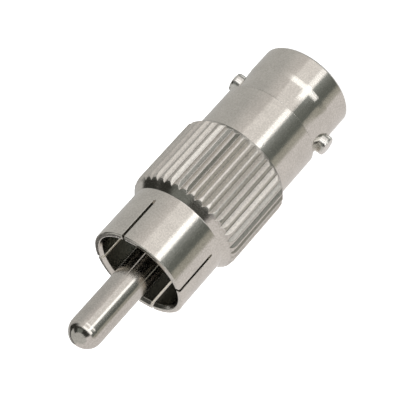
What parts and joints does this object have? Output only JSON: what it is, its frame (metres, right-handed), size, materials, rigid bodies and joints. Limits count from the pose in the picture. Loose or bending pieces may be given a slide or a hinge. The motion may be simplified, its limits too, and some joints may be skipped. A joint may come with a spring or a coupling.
{
  "type": "bnc to rca adapter",
  "caption": "Coaxial adapter: BNC jack with bayonet lugs at one end, RCA plug with slotted collar and centre pin at the other, knurled grip between.",
  "frame": {"origin": "centre of the BNC jack's front rim, where the adapter stands", "axes": "+Z along the axis from the BNC jack to the RCA centre pin; +X through the right bayonet lug"},
  "size_m": [0.0114, 0.0114, 0.0351],
  "materials": {
    "shell_plating": "nickel plated, bright",
    "barrel_plating": "nickel plated, bright",
    "lug_plating": "nickel plated, bright",
    "pin_plating": "nickel plated, bright",
    "contact_plating": "nickel plated, warm",
    "white_insulator": "smooth, off-white",
    "black_insulator": "smooth, black"
  },
  "bodies": {
    "root": {"plug_shell": "shell_plating", "jack_barrel": "barrel_plating", "bayonet_lug_right": "lug_plating", "bayonet_lug_left": "lug_plating", "jack_insulator": "white_insulator", "plug_insulator": "black_insulator", "socket_contact": "contact_plating", "centre_pin": "pin_plating"}
  },
  "joints": []
}
